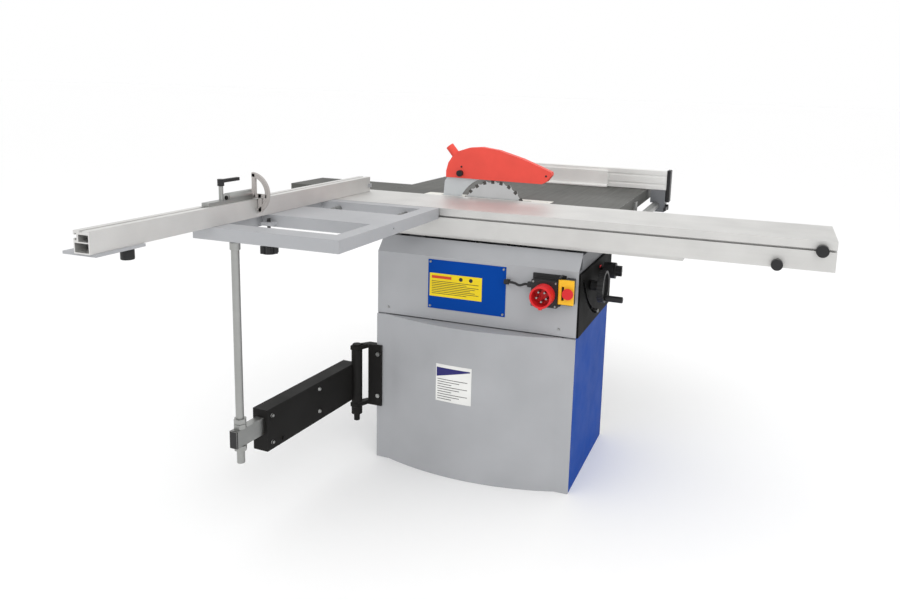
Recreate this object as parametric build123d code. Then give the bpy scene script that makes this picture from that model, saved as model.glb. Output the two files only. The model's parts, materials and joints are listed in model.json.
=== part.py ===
from build123d import *
import math
import os

# Sliding-table panel saw, in millimetres.
# +X points to the operator's end, -Y to the sliding-table side, +Z up.
# The origin is on the floor, under the seam between sliding table and main table.

os.makedirs("parts", exist_ok=True)

# ---- driving sizes ----
table_h = 872.0            # working height
seam_gap = 2.0             # sliding table to main table

cab_len = 675.0            # cabinet along X
cab_near = -312.0          # near outer face of the upper cabinet
cab_far = 163.0            # far outer face
sheet = 2.5                # cabinet sheet
frame_top = 758.0          # top of the welded frame
split_z = 511.0            # joint between lower and upper covers
bevel_z = 719.0            # where the upper cover starts to lean in
bow_bulge = 50.0           # sagitta of the bow front
post_leg = 32.0            # angle-iron corner posts
post_wall = 4.0
base_t = 8.0

main_len = 859.0           # main table along X
main_x0 = -473.0
main_w = 320.0
side_w = 530.0             # side extension table along Y
out_len = 404.0            # outfeed extension along X
out_w = 224.0
plate_t = 12.0             # cast table plate
rib_h = 46.0               # total depth of the table edge
rib_t = 10.0
insert_len = 470.0
insert_w = 58.0
insert_x0 = -320.0
insert_t = 3.5
ledge = 8.0
slot_w = 16.0

blade_d = 250.0
blade_t = 3.2
blade_x = -59.0
blade_y = 20.0
blade_up = 64.0            # blade above the table as it stands
arbor_r = 12.0
flange_r = 25.0
pulley_r = 25.0
motor_pulley_r = 32.0
motor_r = 68.0
motor_drop = 161.0         # motor axis below the arbor
fit = 0.05                 # radial clearance of running fits
gap = 0.3                  # clearance between neighbours on different bodies

slide_len = 1601.0         # sliding table
slide_x0 = -560.0
slide_w = 280.0
slide_h = 86.0
slide_lip = 6.0
beam_len = 1150.0
beam_x1 = 632.0
beam_near = -255.0
beam_far = -135.0
beam_z0 = 772.0
beam_z1 = 838.0

rig_x0 = -580.0            # outrigger
rig_len = 444.0
rig_near = -900.0
rig_far = -284.0
rig_h = 35.0
rig_rail = 44.0
rig_near_rail = 64.0
rig_mid = (-655.0, -470.0)

fence_x = -513.0           # crosscut fence, working face
fence_w = 45.0
fence_len = 1255.0
fence_y0 = -1299.0
fence_h = 52.0
fence_pivot_y = -240.0
stop_y = -700.0

rip_y = 600.0              # rip fence, near face of the tall profile
rip_h = 76.0
rip_w = 42.0
rip_len = 750.0
rip_x1 = 463.0
face_len = 550.0
face_x1 = 228.0
rail_x = 425.0
rail_z = 812.0
rail_r = 15.0

hinge_x = -394.0           # swing arm hinge
hinge_y = -352.0
arm_z0 = 210.0
arm_z1 = 335.0
arm_w = 50.0
arm_end_y = -800.0
post_x = -461.0
post_y = -880.0
post_r = 11.0
tube_w = 25.0
tube_h = 50.0

wheel_y = -158.0           # height handwheel
wheel_z = 645.0
wheel_r = 52.0
tilt_y = 0.0               # tilt knob
tilt_z = 664.0
tilt_slot_r = 347.0
tilt_start = -101.0         # angle of the tilt stud about the blade line
tilt_range = 45.0

# ---- derived places ----
blade_z = table_h + blade_up - blade_d / 2
motor_z = blade_z - motor_drop
cab_x = cab_len / 2
slide_z0 = table_h - slide_h
main_y0 = seam_gap
main_x1 = main_x0 + main_len
side_y0 = main_y0 + main_w + 1
rig_x1 = rig_x0 + rig_len
rig_z0 = table_h - rig_h
fence_z0 = table_h + 0.5
rip_z0 = table_h + 2
arm_angle = math.degrees(math.atan2(hinge_x - 34 - post_x, hinge_y - post_y))

nodes = {}


def box(x0, x1, y0, y1, z0, z1):
    return Pos((x0 + x1) / 2, (y0 + y1) / 2, (z0 + z1) / 2) * Box(x1 - x0, y1 - y0, z1 - z0)


def rod_x(x0, x1, y, z, r):
    return Pos((x0 + x1) / 2, y, z) * Rot(0, 90, 0) * Cylinder(r, x1 - x0)


def rod_y(y0, y1, x, z, r):
    return Pos(x, (y0 + y1) / 2, z) * Rot(90, 0, 0) * Cylinder(r, y1 - y0)


def rod_z(z0, z1, x, y, r):
    return Pos(x, y, (z0 + z1) / 2) * Cylinder(r, z1 - z0)


def along_x(points, x0, x1):
    """Solid of a Y-Z outline, from x0 to x1."""
    outline = Polyline(*[(x0, y, z) for y, z in points], close=True)
    return extrude(make_face(outline), x1 - x0, dir=(1, 0, 0))


def along_y(points, y0, y1):
    """Solid of an X-Z outline, from y0 to y1."""
    outline = Polyline(*[(x, y0, z) for x, z in points], close=True)
    return extrude(make_face(outline), y1 - y0, dir=(0, 1, 0))


def along_z(points, z0, z1):
    """Solid of an X-Y outline, from z0 to z1."""
    outline = Polyline(*[(x, y, z0) for x, y in points], close=True)
    return extrude(make_face(outline), z1 - z0, dir=(0, 0, 1))


def arc_band(x0, x1, radius, half, start, end):
    """Band of an arc about the tilt axis, with round ends; angles in degrees from +Y."""
    def spot(r, deg):
        return (x0, blade_y + r * math.cos(math.radians(deg)), table_h + r * math.sin(math.radians(deg)))

    def cap(deg, side):
        tip = math.radians(deg + side * 90)
        cx, cy, cz = spot(radius, deg)
        return (x0, cy + half * math.cos(tip), cz + half * math.sin(tip))
    middle = (start + end) / 2
    edges = [ThreePointArc(spot(radius + half, start), spot(radius + half, middle), spot(radius + half, end)),
             ThreePointArc(spot(radius + half, end), cap(end, 1), spot(radius - half, end)),
             ThreePointArc(spot(radius - half, end), spot(radius - half, middle), spot(radius - half, start)),
             ThreePointArc(spot(radius - half, start), cap(start, -1), spot(radius + half, start))]
    return extrude(make_face(Wire(edges)), x1 - x0, dir=(1, 0, 0))


def keep(name, shape):
    nodes[name] = shape


def join(name, *shapes):
    """One node of several separate solids."""
    nodes[name] = Compound(children=[solid for shape in shapes for solid in shape.solids()])


def turn_about_hinge(shape):
    return Pos(hinge_x, hinge_y, 0) * Rot(0, 0, -arm_angle) * shape


# ---- cabinet ----
def cabinet():
    inner_near = cab_near + sheet
    inner_far = cab_far - sheet
    inner_x = cab_x - sheet
    base = box(-inner_x, inner_x, inner_near, inner_far, 0, base_t)
    for sx in (-1, 1):
        for y in (inner_near + 70, inner_far - 70):
            base -= rod_z(-1, base_t + 1, sx * (inner_x - 70), y, 5.5)
    rail_h = 24
    near_top = bevel_z - 3
    frame = base
    for sx in (-1, 1):
        x = sx * inner_x
        for sy, y, top in ((1, inner_near, near_top), (-1, inner_far, frame_top)):
            frame += box(*sorted((x, x - sx * post_leg)), *sorted((y, y + sy * post_wall)), base_t, top)
            frame += box(*sorted((x, x - sx * post_wall)), *sorted((y, y + sy * post_leg)), base_t, top)
        frame += box(*sorted((x, x - sx * post_leg)), inner_near, inner_far, near_top - rail_h, near_top)
        frame += box(*sorted((x, x - sx * post_leg)), inner_near + 50, inner_far, near_top, frame_top)
        stand_x = sx * (inner_x - 18)
        frame += box(stand_x - 14, stand_x + 14, inner_far - 58, inner_far - 13, frame_top - rail_h,
                     table_h - plate_t)
    frame += box(-inner_x, inner_x, inner_near, inner_near + post_leg, near_top - rail_h, near_top)
    frame += box(-inner_x, inner_x, inner_far - 10, inner_far, frame_top - rail_h, frame_top)
    for sx in (-1, 1):
        frame += box(sx * 230 - 25, sx * 230 + 25, inner_near, beam_far - 12, near_top - rail_h, near_top)
        frame += box(sx * 230 - 25, sx * 230 + 25, beam_near + 12, beam_far - 12, near_top, beam_z0)
    keep("cabinet_frame", frame)

    # outfeed-side, far-side and operator-side panels
    top_y = cab_near + 46
    top_z = beam_z0 - 4
    side = along_x([(inner_near, 0), (cab_far, 0), (cab_far, frame_top), (top_y, frame_top),
                    (inner_near, bevel_z - 3)], -cab_x, -inner_x)
    far = side + box(-inner_x, cab_x, inner_far, cab_far, 0, frame_top)
    far -= rod_y(inner_far - 1, cab_far + 1, 120, 120, 50)
    for x in range(-200, 60, 40):
        far -= box(x, x + 22, inner_far - 1, cab_far + 1, 420, 428)
        far -= box(x, x + 22, inner_far - 1, cab_far + 1, 440, 448)
    keep("operator_side_panel", box(inner_x, cab_x, cab_near + sheet, inner_far, 0, split_z))

    port = rod_y(inner_far - 12, cab_far + 60, 120, 120, 49.5)
    port -= rod_y(inner_far - 13, cab_far + 61, 120, 120, 47)
    port += rod_y(cab_far, cab_far + 4, 120, 120, 62) - rod_y(cab_far - 1, cab_far + 5, 120, 120, 47)
    join("rear_cover", far, port)

    panel = box(inner_x, cab_x + 6, cab_near + sheet, inner_far, split_z, 708)
    panel -= box(inner_x - 1, cab_x + 3.5, cab_near + sheet + 20, inner_far - 14, split_z + 14, 694)
    panel -= rod_x(inner_x - 1, cab_x + 7, wheel_y, wheel_z, 7 + fit)
    panel -= rod_x(inner_x - 1, cab_x + 7, tilt_y, tilt_z, 7 + fit)
    panel -= arc_band(cab_x - 5, cab_x + 7, tilt_slot_r, 7, tilt_start - tilt_range, tilt_start)
    keep("control_panel", panel)

    # covers on the sliding-table side
    arc_mid = (0, cab_near - 6 - bow_bulge)
    flat = 46.0
    edge_y = cab_near - 6

    def bow_face(offset):
        path = Polyline((-cab_x + offset, cab_near + sheet), (-cab_x + offset, edge_y + offset),
                        (-cab_x + flat, edge_y + offset))
        path += ThreePointArc((-cab_x + flat, edge_y + offset), (0, arc_mid[1] + offset),
                              (cab_x - flat, edge_y + offset))
        path += Polyline((cab_x - flat, edge_y + offset), (cab_x - offset, edge_y + offset),
                         (cab_x - offset, cab_near + sheet), (-cab_x + offset, cab_near + sheet))
        return make_face(path)

    bow = extrude(bow_face(0), split_z - 3)
    bow -= Pos(0, 0, sheet) * extrude(bow_face(sheet), split_z - 3 - 2 * sheet)
    keep("bow_front_cover", bow)

    outer = [(cab_near + sheet, split_z), (cab_near, split_z), (cab_near, bevel_z),
             (top_y, top_z), (top_y, top_z - 3.5), (cab_near + sheet, bevel_z - 1)]
    upper = along_x(outer, -cab_x, cab_x)
    keep("upper_side_cover", upper)

    plate_y = cab_near - 1.5
    keep("name_plate", box(-156, 108, plate_y, cab_near, 549, 710))
    join("labels", box(-150, 29, plate_y - 0.4, plate_y, 590, 666),
         box(-101, 23, arc_mid[1] - 0.8, arc_mid[1] - 0.2, 260, 384))

    screws = None
    spots = [(x, cab_near, split_z + 22) for x in (-cab_x + 40, cab_x - 55)]
    spots += [(x, plate_y, z) for x in (-148, 100) for z in (557, 702)]
    for x, y, z in spots:
        head = Pos(x, y - 1.2, z) * Rot(90, 0, 0) * Cylinder(4.2, 2.4)
        screws = head if screws is None else screws + head
    keep("cover_screws", screws)


# ---- tables ----
def ribbed(x0, x1, y0, y1):
    plate = box(x0, x1, y0, y1, table_h - rib_h, table_h)
    return plate - box(x0 + rib_t, x1 - rib_t, y0 + rib_t, y1 - rib_t,
                       table_h - rib_h - 1, table_h - plate_t)


def tables():
    ins_x1 = insert_x0 + insert_len
    ins_y1 = main_y0 + insert_w
    main = ribbed(main_x0, main_x1, main_y0, main_y0 + main_w)
    for x in (main_x0 + 120, main_x1 - 120):
        main += box(x - 5, x + 5, ins_y1 + 30, main_y0 + main_w - 1, table_h - 36, table_h - 1)
    main -= box(insert_x0, ins_x1, main_y0 - 1, ins_y1, table_h - insert_t, table_h + 1)
    main -= box(insert_x0 + ledge, ins_x1 - ledge, main_y0 - 1, ins_y1 - ledge,
                table_h - rib_h - 1, table_h + 1)
    main -= box(insert_x0 - 25, insert_x0 + ledge + 1, main_y0 - 1, ins_y1 - ledge,
                table_h - rib_h - 1, table_h - plate_t)
    main -= box(ins_x1 - ledge - 1, ins_x1 + 25, main_y0 - 1, ins_y1 - ledge,
                table_h - rib_h - 1, table_h - plate_t)
    keep("main_table", main)

    slot_x0 = blade_x - blade_d / 2 - 75
    slot_x1 = blade_x + blade_d / 2 + 14
    insert = box(insert_x0 + gap, ins_x1 - gap, main_y0 + 0.5, ins_y1 - gap, table_h - insert_t, table_h - 0.2)
    insert -= box(slot_x0, slot_x1, blade_y - slot_w / 2, blade_y + slot_w / 2,
                  table_h - insert_t - 1, table_h + 1)
    for x in (insert_x0 + 16, ins_x1 - 16):
        insert -= rod_z(table_h - 1.6, table_h + 1, x, main_y0 + insert_w / 2, 5)
    keep("table_insert", insert)

    keep("side_extension_table", ribbed(main_x0, main_x1, side_y0, side_y0 + side_w))
    keep("outfeed_extension_table", ribbed(main_x0 - 1 - out_len, main_x0 - 1, 0.5 + main_y0 - 2, out_w))

    bolts = None
    joint_z = table_h - rib_h + 20
    for x in (main_x0 + 90, 0, main_x1 - 90):
        bolt = rod_y(side_y0 + rib_t, side_y0 + rib_t + 7, x, joint_z, 7)
        bolts = bolt if bolts is None else bolts + bolt
    for y in (50, 170):
        bolts += rod_x(main_x0 - 1 - rib_t - 7, main_x0 - 1 - rib_t, y, joint_z, 7)
    return bolts


# ---- rip fence ----
def rip_fence():
    rail = rod_y(20, side_y0 + side_w - 10, rail_x, rail_z, rail_r)
    arms = None
    for y in (60, side_y0 - 1, side_y0 + side_w - 40):
        arm = box(main_x1, rail_x - 4, y - 20, y + 20, rail_z - 7, rail_z + 7)
        arm += box(main_x1, main_x1 + 8, y - 20, y + 20, rail_z - 16, table_h - rib_h + 30)
        arm -= rod_y(y - 21, y + 21, rail_x, rail_z, rail_r)
        arms = arm if arms is None else arms + arm
    join("rip_rail", rail, arms)

    y0, y1 = rip_y - 4, rip_y + 60
    foot = box(rail_x - 22, rail_x + 36, y0, y1, rail_z - 26, rip_z0 - 0.5)
    foot -= rod_y(y0 - 1, y1 + 1, rail_x, rail_z, rail_r + fit)
    foot -= box(main_x1 - 10, rail_x, y0 - 1, y1 + 1, rail_z - 10, rail_z + 10)
    foot += box(rail_x - 22, rail_x + 36, rip_y + rip_w + 0.5, y1, rip_z0 - 1, rip_z0 + 60)
    keep("rip_carriage", foot)

    x0, x1 = rip_x1 - rip_len, rip_x1
    tall = box(x0, x1, rip_y, rip_y + rip_w, rip_z0, rip_z0 + rip_h)
    tall -= box(x0 - 1, x1 + 1, rip_y + 4, rip_y + rip_w - 4, rip_z0 + 4, rip_z0 + rip_h / 2 - 3)
    tall -= box(x0 - 1, x1 + 1, rip_y + 4, rip_y + rip_w - 4, rip_z0 + rip_h / 2 + 3, rip_z0 + rip_h - 4)
    for z in (rip_z0 + 20, rip_z0 + rip_h - 22):
        tall -= box(x0 - 1, x1 + 1, rip_y - 1, rip_y + 2, z - 4, z + 4)
    keep("rip_profile", tall)

    face_y = rip_y - gap
    f0, f1 = face_x1 - face_len, face_x1
    lip = [(face_y, rip_z0 - 1), (face_y - 30, rip_z0 - 1), (face_y - 30, rip_z0 + 5),
           (face_y - 12, rip_z0 + 9), (face_y - 12, rip_z0 + 64), (face_y, rip_z0 + 64)]
    low = along_x(lip, f0, f1)
    low -= box(f0 - 1, f1 + 1, face_y - 9, face_y - 3, rip_z0 + 3, rip_z0 + 28)
    low -= box(f0 - 1, f1 + 1, face_y - 9, face_y - 3, rip_z0 + 32, rip_z0 + 60)
    keep("rip_face_profile", low)

    end = box(rip_x1, rip_x1 + 14, rip_y - 3, rip_y + rip_w + 3, rip_z0 - 48, rip_z0 + rip_h + 3)
    keep("rip_end_plate", end)

    pivot_x = rail_x + 36
    lever = rod_x(pivot_x + 0.5, pivot_x + 12, rip_y + 24, rail_z - 8, 11)
    lever += box(pivot_x + 2, pivot_x + 11, rip_y - 46, rip_y + 24, rail_z - 15, rail_z - 3)
    lever += rod_x(pivot_x - 14, pivot_x + 1, rip_y + 24, rail_z - 8, 4)
    nodes["rip_carriage"] -= rod_x(pivot_x - 15, pivot_x + 1, rip_y + 24, rail_z - 8, 4 + fit)
    keep("rip_clamp_lever", lever)


# ---- tilting and lifting unit ----
def saw_unit():
    rear_x, front_x = -300.0, 168.0
    arc_r = 90.0

    trunnions = None
    for x in (rear_x, front_x):
        plate = arc_band(x, x + 10, arc_r, 16, -128, -33)
        plate += box(x, x + 10, blade_y + 66, blade_y + 108, table_h - 62, table_h - plate_t)
        plate -= arc_band(x - 1, x + 11, arc_r, 6 + fit, -79 - tilt_range, -41)
        trunnions = plate if trunnions is None else trunnions + plate
    keep("trunnions", trunnions)

    rod_ys = 84.0
    rods_x = (blade_x - 110, blade_x + 110)
    low_z = 486.0
    cradle = None
    for x, out in ((rear_x + 10.5, -1), (front_x - 10.5, 1)):
        plate = box(x, x + 10, 32, 118, table_h - 100, table_h - 30)
        for a in (-42, -78):
            y = blade_y + arc_r * math.cos(math.radians(a))
            z = table_h + arc_r * math.sin(math.radians(a))
            plate += rod_x(*sorted((x + 5, x + 5 + out * 20)), y, z, 6)
        cradle = plate if cradle is None else cradle + plate
    beam_z = table_h - 72
    cradle += box(rear_x + 12, front_x - 2, 100, 118, beam_z, table_h - 34)
    for x in rods_x:
        cradle += box(x - 18, x + 18, 66, 101, table_h - 36, table_h - 22)
    keep("cradle", cradle)

    rods = None
    for x in rods_x:
        rod = rod_z(low_z, table_h - 36, x, rod_ys, 11)
        rods = rod if rods is None else rods + rod
    rods += box(rods_x[0] - 16, rods_x[1] + 16, rod_ys - 12, rod_ys + 12, low_z - 14, low_z)

    # tilt stud, which passes through the curved slot of the control panel
    a = math.radians(tilt_start)
    sy, sz = blade_y + tilt_slot_r * math.cos(a), table_h + tilt_slot_r * math.sin(a)
    arm = box(rods_x[1] + 14, rods_x[1] + 26, sy - 10, rod_ys + 12, sz - 12, sz + 12)
    arm -= rod_z(sz - 13, sz + 13, rods_x[1], rod_ys, 11)
    arm += box(rods_x[1] - 16, rods_x[1] + 26, rod_ys - 17, rod_ys + 17, sz - 12, sz + 12)
    arm -= rod_z(sz - 13, sz + 13, rods_x[1], rod_ys, 11)
    arm += rod_x(rods_x[1] + 20, cab_x + 10, sy, sz, 6)
    join("lift_guides", rods, arm)

    # lifting body: saddle with arbor housing and motor
    saddle_z0, saddle_z1 = table_h - 132, table_h - 62
    housing = rod_y(blade_y + 38, blade_y + 74, blade_x, blade_z, 30)
    saddle = box(rods_x[0] - 17, rods_x[1] + 17, rod_ys - 16, rod_ys + 12, saddle_z0, saddle_z1)
    saddle += housing
    for x in rods_x:
        saddle -= rod_z(saddle_z0 - 1, saddle_z1 + 1, x, rod_ys, 11 + fit)
    saddle -= rod_y(blade_y + 20, blade_y + 90, blade_x, blade_z, arbor_r + fit)
    hanger_x = blade_x + 78
    for x in (blade_x - 78 - 8, hanger_x):
        saddle += box(x, x + 8, rod_ys - 16, rod_ys + 12, motor_z - 30, saddle_z0 + 1)
    knife_arm = box(-222, rods_x[0] - 10, blade_y + 8, rod_ys - 15, saddle_z0, saddle_z0 + 34)
    knife_arm += box(-246, -196, blade_y + 1.4 + gap, blade_y + 12, saddle_z0, saddle_z0 + 34)
    knife_arm -= rod_z(saddle_z0 - 1, saddle_z1 + 1, rods_x[0], rod_ys, 11 + fit)
    saddle += knife_arm
    knife_bolts = [rod_y(blade_y - 8, blade_y - 1.3, x, saddle_z0 + 17, 7) for x in (-232, -210)]
    join("arbor_housing", saddle, *knife_bolts)

    motor_y0, motor_y1 = blade_y + 40, cab_far - 14
    motor = rod_y(motor_y0, motor_y1, blade_x, motor_z, motor_r)
    motor += box(blade_x - 78, blade_x + 78, rod_ys - 14, rod_ys + 10, motor_z - 28, motor_z + 28)
    motor -= rod_y(motor_y0 - 1, motor_y0 + 30, blade_x, motor_z, 9 + fit)
    keep("motor", motor)

    # riving knife
    def at(r, deg):
        return (blade_x + r * math.cos(math.radians(deg)), blade_z + r * math.sin(math.radians(deg)))
    inner = [at(blade_d / 2 + 12, deg) for deg in range(112, 204, 7)]
    outer_edge = [(-246, saddle_z0 + 2), (-252, table_h - 20), (-246, table_h + 50), (-230, table_h + 75),
                  (-212, table_h + 112),
                  (-150, table_h + 112)]
    knife = along_y(inner + outer_edge, blade_y - 1.3, blade_y + 1.3)
    knife -= rod_y(blade_y - 3, blade_y + 3, -180, table_h + 83, 5 + fit)
    keep("riving_knife", knife)

    # blade, arbor, flanges
    disc = rod_y(blade_y - blade_t / 2, blade_y + blade_t / 2, blade_x, blade_z, blade_d / 2 - 8)
    teeth = 24
    tooth = None
    for i in range(teeth):
        a = 360 / teeth * i
        r0, r1 = blade_d / 2 - 10, blade_d / 2
        pts = [(blade_x + r * math.cos(math.radians(b)), blade_z + r * math.sin(math.radians(b)))
               for r, b in ((r0, a - 6.4), (r0, a + 5.6), (r1 - 2, a + 4.5), (r1, a + 0.6), (r1, a))]
        one = along_y(pts, blade_y - blade_t / 2, blade_y + blade_t / 2)
        tooth = one if tooth is None else tooth + one
    disc = disc + tooth - rod_y(blade_y - 5, blade_y + 5, blade_x, blade_z, arbor_r)
    keep("saw_blade", disc)
    half = blade_t / 2
    arbor = rod_y(blade_y - 14, blade_y + 78, blade_x, blade_z, arbor_r)
    outer_fl = rod_y(blade_y - half - 5, blade_y - half, blade_x, blade_z, flange_r)
    outer_fl += rod_y(blade_y + half, blade_y + half + 6, blade_x, blade_z, flange_r + 5)
    outer_fl -= rod_y(blade_y - 30, blade_y + 30, blade_x, blade_z, arbor_r)
    nut = Rot(90, 0, 0) * extrude(RegularPolygon(17, 6), 4, both=True)
    nut = Pos(blade_x, blade_y - half - 5 - 4, blade_z) * nut
    nut -= rod_y(blade_y - 30, blade_y, blade_x, blade_z, arbor_r)
    join("blade_flanges", outer_fl, nut)

    def pulley(z, r, bore):
        y0, y1 = blade_y + 11, blade_y + 31
        wheel = rod_y(y0, y1, blade_x, z, r)
        wheel += rod_y(y0, y0 + 2, blade_x, z, r + 4) + rod_y(y1 - 2, y1, blade_x, z, r + 4)
        return wheel - rod_y(y0 - 1, y1 + 1, blade_x, z, bore)
    join("arbor", arbor, pulley(blade_z, pulley_r, arbor_r))
    drive = pulley(motor_z, motor_pulley_r, 9) + rod_y(blade_y + 11, motor_y0 + 29, blade_x, motor_z, 9)
    keep("motor_pulley", drive)

    def belt_loop(extra, y0, y1):
        r_top, r_low = pulley_r + extra, motor_pulley_r + extra
        lean = math.degrees(math.asin((r_low - r_top) / motor_drop))
        pts = [(blade_x + r_top * math.cos(math.radians(d)), blade_z + r_top * math.sin(math.radians(d)))
               for d in [lean + (180 - 2 * lean) * i / 16 for i in range(17)]]
        start, sweep = 180 - lean, 180 + 2 * lean
        pts += [(blade_x + r_low * math.cos(math.radians(d)), motor_z + r_low * math.sin(math.radians(d)))
                for d in [start + sweep * i / 16 for i in range(17)]]
        return along_y(pts, y0, y1)
    belt = belt_loop(4.2, blade_y + 14, blade_y + 28) - belt_loop(0.6, blade_y + 13, blade_y + 29)
    keep("drive_belt", belt)


# ---- blade guard ----
def guard():
    px, pz = -180.0, table_h + 83
    half = 15.0
    wall = 2.5
    outline = [(-236, table_h + 66), (-236, table_h + 88), (-228, table_h + 118), (-213, table_h + 140),
               (-190, table_h + 160), (-149, table_h + 174), (-104, table_h + 178), (-41, table_h + 170),
               (45, table_h + 146), (120, table_h + 118), (150, table_h + 106), (152, table_h + 96),
               (136, table_h + 74), (119, table_h + 64)]
    shell = along_y(outline, blade_y - half, blade_y + half)
    inner = [(-233, table_h + 60), (-233, table_h + 88), (-225, table_h + 116), (-211, table_h + 137),
             (-189, table_h + 157), (-148, table_h + 171), (-104, table_h + 175), (-41, table_h + 167),
             (44, table_h + 143), (119, table_h + 115), (146, table_h + 104), (147, table_h + 97),
             (133, table_h + 76), (118, table_h + 60)]
    shell -= along_y(inner, blade_y - half + wall, blade_y + half - wall)
    lean = math.radians(40)
    spout_dir = (-math.sin(lean), math.cos(lean))
    base = (-200.0, table_h + 140)

    def tube(r, a, b):
        mid = (a + b) / 2
        spot = Pos(base[0] + spout_dir[0] * mid, blade_y, base[1] + spout_dir[1] * mid)
        return spot * Rot(0, -math.degrees(lean), 0) * Cylinder(r, b - a)
    solid = along_y(outline, blade_y - half, blade_y + half)
    spout = tube(14.5, -4, 46) - tube(12.5, -10, 56) - solid
    shell -= tube(12.5, -4, 30)
    shell -= box(-240, -230, blade_y - 3, blade_y + 3, table_h + 55, table_h + 128)
    shell -= rod_y(blade_y - half - 1, blade_y + half + 1, px, pz, 5)
    keep("guard_shell", shell)
    keep("guard_spout", spout)
    pin = rod_y(blade_y - half - 3, blade_y + half + 2, px, pz, 5)
    pin += rod_y(blade_y - half - 16, blade_y - half, px, pz, 11)
    pin += rod_y(blade_y + half, blade_y + half + 4, px, pz, 9)
    rivets = None
    for x, z in ((-177, table_h + 106), (133, table_h + 92)):
        head = rod_y(blade_y - half - 2, blade_y - half, x, z, 3.5)
        rivets = head if rivets is None else rivets + head
    join("guard_knob", pin, rivets)


# ---- sliding table ----
def sliding_table():
    x0, x1 = slide_x0, slide_x0 + slide_len
    z0, z1 = slide_z0, table_h
    near = -slide_w
    lip_y = -20.0
    under = z1 - slide_lip
    foot_y = lip_y - (under - z0)
    wall_y = beam_far + 8
    ceiling = beam_z1 + 8
    profile = [(0, z1), (0, under), (lip_y, under), (foot_y, z0), (wall_y, z0), (wall_y, ceiling),
               (near + 18, ceiling), (near + 18, z0), (near, z0), (near, z1 - 30), (near + 7, z1 - 30),
               (near + 7, z1 - 34), (near + 14, z1 - 34), (near + 14, z1 - 20), (near + 7, z1 - 20),
               (near + 7, z1 - 24), (near, z1 - 24), (near, z1)]
    body = along_x(profile, x0, x1)
    for y0, y1 in ((-252, -206), (-200, -140)):
        body -= box(x0 - 1, x1 + 1, y0, y1, ceiling + 4, z1 - 5)
    ridge = 20
    for i in range(12):
        y = near + 22 + i * ridge
        body -= box(x0 - 1, x1 + 1, y, y + 2.4, z1 - 0.7, z1 + 1)
    body -= rod_z(z1 - 20, z1 + 1, fence_x - fence_w / 2, fence_pivot_y, 6 + fit)
    keep("sliding_table", body)

    beam = box(beam_x1 - beam_len, beam_x1, beam_near, beam_far, beam_z0, beam_z1)
    for a, b in ((beam_near + 5, -198), (-192, beam_far - 5)):
        beam -= box(beam_x1 - beam_len - 1, beam_x1 + 1, a, b, beam_z0 + 5, beam_z1 - 5)
    rollers = None
    for x in (-420, -140, 140, 420):
        for y in (beam_near + 25, beam_far - 25):
            roller = rod_y(y - 8, y + 8, x, beam_z1 + 4, 3.7)
            rollers = roller if rollers is None else rollers + roller
    join("guide_beam", beam, rollers)

    slot_z = z1 - 27
    knob = rod_y(near - 22, near - 1, 1003, slot_z, 17) + rod_y(near - 1, near + 5, 1003, slot_z, 2.8)
    keep("slot_knob", knob)
    lock = rod_y(near - 22, near - 1, 890, z0 + 10, 16) + rod_y(near - 1, near + 12, 890, z0 + 10, 5)
    nodes["sliding_table"] -= rod_y(near - 1, near + 13, 890, z0 + 10, 5 + fit)
    keep("lock_knob", lock)


# ---- outrigger ----
def outrigger():
    z0, z1 = rig_z0, table_h
    frame = box(rig_x0, rig_x1, rig_near, rig_far, z0, z1)
    inner_x0, inner_x1 = rig_x0 + rig_rail, rig_x1 - rig_rail
    frame -= box(inner_x0, inner_x1, rig_near + rig_near_rail, rig_mid[0], z0 - 1, z1 + 1)
    frame -= box(inner_x0, inner_x1, rig_mid[1], rig_far - 46, z0 - 1, z1 + 1)
    frame -= rod_x(rig_x1 - 6, rig_x1 + 1, -600, z0 + rig_h / 2, 3.5)
    hooks = None
    for x in (-470, -230):
        hook = box(x - 25, x + 25, rig_far, -slide_w, z0 + 1, z1 - 1)
        hook += rod_y(rig_far - 70, rig_far - 46, x, z0 + 14, 8)
        hook += box(x - 8, x + 8, rig_far - 90, rig_far - 68, z0 + 8, z0 + 20)
        hooks = hook if hooks is None else hooks + hook
    keep("outrigger_clamps", hooks)

    tab_x, tab_y = -505.0, rig_mid[0] - 13
    tab = box(tab_x - 18, tab_x + 18, rig_mid[0] - 28, rig_mid[0], z0 + 6, z0 + 16)
    tab -= rod_z(z0, z1, tab_x, tab_y, 5 + fit)
    keep("outrigger_frame", frame + tab)
    knob = rod_z(z0 - 52, z0 + 26, tab_x, tab_y, 5)
    knob += rod_z(z0 - 78, z0 - 52, tab_x, tab_y, 20)
    for i in range(6):
        a = math.radians(60 * i)
        knob += rod_z(z0 - 76, z0 - 54, tab_x + 20 * math.cos(a), tab_y + 20 * math.sin(a), 8)
    keep("clamp_knob", knob)


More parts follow.
